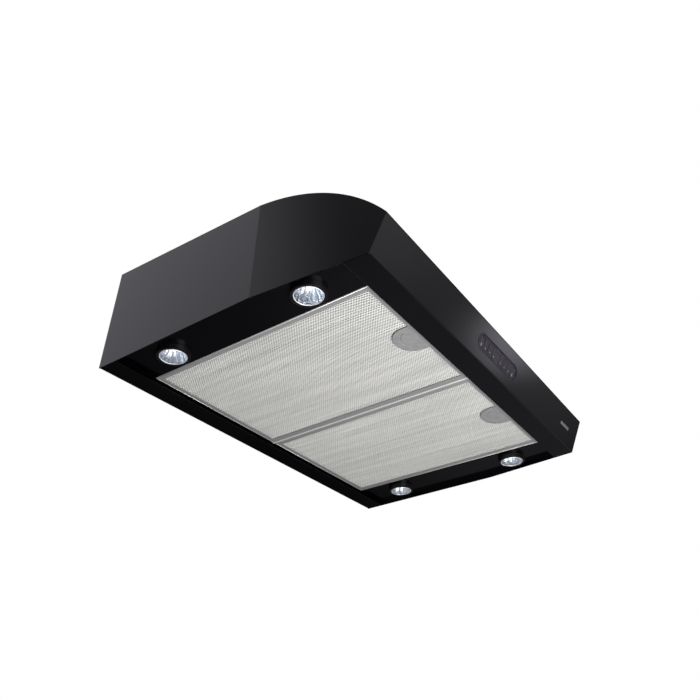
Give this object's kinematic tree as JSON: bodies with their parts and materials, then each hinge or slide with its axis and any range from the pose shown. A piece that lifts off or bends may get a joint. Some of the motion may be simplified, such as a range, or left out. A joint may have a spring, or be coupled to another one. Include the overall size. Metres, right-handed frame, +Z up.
{
  "type": "under cabinet range hood",
  "caption": "Under cabinet range hood with a curved front, angled sides, twin mesh filters, four lamps and a pill-shaped key panel.",
  "frame": {"origin": "middle of the four cabinet screw holes, on the flat top face", "axes": "+Z up, out of the top face; +Y to the wall; the front faces -Y; +X to the right seen from the front"},
  "size_m": [0.76, 0.514, 0.219],
  "materials": {
    "black_enamel": "gloss black powder enamel",
    "filter_aluminium": "satin rolled aluminium",
    "grease_mesh": "expanded aluminium mesh",
    "latch_plastic": "moulded grey plastic",
    "lamp_trim": "gloss black plastic",
    "lamp_glass": "clear",
    "lamp_reflector": "silvered, faceted",
    "lamp_ceramic": "unglazed ceramic",
    "control_surround": "dark moulded plastic",
    "key_plastic": "dark satin plastic with pale marks",
    "circuit_board": "printed circuit board",
    "box_plastic": "moulded",
    "badge_metal": "plain satin plate",
    "galvanised_steel": "galvanised",
    "bright_steel": "ground",
    "wheel_steel": "galvanised",
    "motor_paint": "satin black",
    "capacitor_can": "drawn can",
    "gland_plastic": "natural nylon",
    "transformer_case": "moulded"
  },
  "bodies": {
    "hood": {"badge": "badge_metal", "blower_motor": "motor_paint", "blower_scroll": "galvanised_steel", "blower_side_left": "galvanised_steel", "blower_side_right": "galvanised_steel", "bottom_pan": "black_enamel", "cable_gland": "gland_plastic", "control_bezel": "control_surround", "control_board": "circuit_board", "control_box": "box_plastic", "damper_pin": "bright_steel", "duct_collar": "galvanised_steel", "filter_divider": "filter_aluminium", "front_cover": "black_enamel", "front_fascia": "black_enamel", "hinge_brackets": "galvanised_steel", "junction_box": "galvanised_steel", "junction_cover": "galvanised_steel", "lamp_bezel_1": "lamp_trim", "lamp_bezel_2": "lamp_trim", "lamp_bezel_3": "lamp_trim", "lamp_bezel_4": "lamp_trim", "lamp_bulb_1": "lamp_reflector", "lamp_bulb_2": "lamp_reflector", "lamp_bulb_3": "lamp_reflector", "lamp_bulb_4": "lamp_reflector", "lamp_lens_1": "lamp_glass", "lamp_lens_2": "lamp_glass", "lamp_lens_3": "lamp_glass", "lamp_lens_4": "lamp_glass", "lamp_socket_1": "lamp_ceramic", "lamp_socket_2": "lamp_ceramic", "lamp_socket_3": "lamp_ceramic", "lamp_socket_4": "lamp_ceramic", "lamp_transformer": "transformer_case", "motor_bracket": "galvanised_steel", "rear_panel": "black_enamel", "run_capacitor": "capacitor_can", "side_panel_left": "black_enamel", "side_panel_right": "black_enamel", "top_panel": "black_enamel"},
    "filter_left": {"filter_frame_left": "filter_aluminium", "filter_mesh_left": "grease_mesh"},
    "filter_right": {"filter_frame_right": "filter_aluminium", "filter_mesh_right": "grease_mesh"},
    "latch_left": {"filter_latch_left": "latch_plastic"},
    "latch_right": {"filter_latch_right": "latch_plastic"},
    "fan": {"fan_wheel": "wheel_steel", "motor_shaft": "bright_steel"},
    "flap_front": {"damper_flap_front": "galvanised_steel"},
    "flap_rear": {"damper_flap_rear": "galvanised_steel"},
    "key_1": {"control_key_1": "key_plastic"},
    "key_2": {"control_key_2": "key_plastic"},
    "key_3": {"control_key_3": "key_plastic"},
    "key_4": {"control_key_4": "key_plastic"},
    "key_5": {"control_key_5": "key_plastic"},
    "key_6": {"control_key_6": "key_plastic"},
    "key_7": {"control_key_7": "key_plastic"},
    "key_8": {"control_key_8": "key_plastic"}
  },
  "joints": [
    {"name": "filter_left_hinge", "type": "hinge", "parent": "hood", "child": "filter_left", "pos_m": [0, 0.11177, -0.167], "axis": [1, 0, 0], "range_deg": [0, 70]},
    {"name": "latch_left_slide", "type": "slide", "parent": "filter_left", "child": "latch_left", "axis": [0, 0.9987, -0.0516], "range_m": [0, 0.007], "stiffness_N_per_m": 250},
    {"name": "filter_right_hinge", "type": "hinge", "parent": "hood", "child": "filter_right", "pos_m": [0, 0.11177, -0.167], "axis": [1, 0, 0], "range_deg": [0, 70]},
    {"name": "latch_right_slide", "type": "slide", "parent": "filter_right", "child": "latch_right", "axis": [0, 0.9987, -0.0516], "range_m": [0, 0.007], "stiffness_N_per_m": 250},
    {"name": "key_1_press", "type": "slide", "parent": "hood", "child": "key_1", "axis": [0, 0.9203, 0.3912], "range_m": [0, 0.0015], "stiffness_N_per_m": 500},
    {"name": "key_2_press", "type": "slide", "parent": "hood", "child": "key_2", "axis": [0, 0.9203, 0.3912], "range_m": [0, 0.0015], "stiffness_N_per_m": 500},
    {"name": "key_3_press", "type": "slide", "parent": "hood", "child": "key_3", "axis": [0, 0.9203, 0.3912], "range_m": [0, 0.0015], "stiffness_N_per_m": 500},
    {"name": "key_4_press", "type": "slide", "parent": "hood", "child": "key_4", "axis": [0, 0.9203, 0.3912], "range_m": [0, 0.0015], "stiffness_N_per_m": 500},
    {"name": "key_5_press", "type": "slide", "parent": "hood", "child": "key_5", "axis": [0, 0.9203, 0.3912], "range_m": [0, 0.0015], "stiffness_N_per_m": 500},
    {"name": "key_6_press", "type": "slide", "parent": "hood", "child": "key_6", "axis": [0, 0.9203, 0.3912], "range_m": [0, 0.0015], "stiffness_N_per_m": 500},
    {"name": "key_7_press", "type": "slide", "parent": "hood", "child": "key_7", "axis": [0, 0.9203, 0.3912], "range_m": [0, 0.0015], "stiffness_N_per_m": 500},
    {"name": "key_8_press", "type": "slide", "parent": "hood", "child": "key_8", "axis": [0, 0.9203, 0.3912], "range_m": [0, 0.0015], "stiffness_N_per_m": 500},
    {"name": "fan_spin", "type": "hinge", "parent": "hood", "child": "fan", "pos_m": [0, -0.005, -0.09], "axis": [1, 0, 0], "continuous": true},
    {"name": "flap_front_hinge", "type": "hinge", "parent": "hood", "child": "flap_front", "pos_m": [0, 0.02, 0.01], "axis": [-1, 0, 0], "range_deg": [0, 78]},
    {"name": "flap_rear_hinge", "type": "hinge", "parent": "hood", "child": "flap_rear", "pos_m": [0, 0.02, 0.01], "axis": [1, 0, 0], "range_deg": [0, 78]}
  ]
}
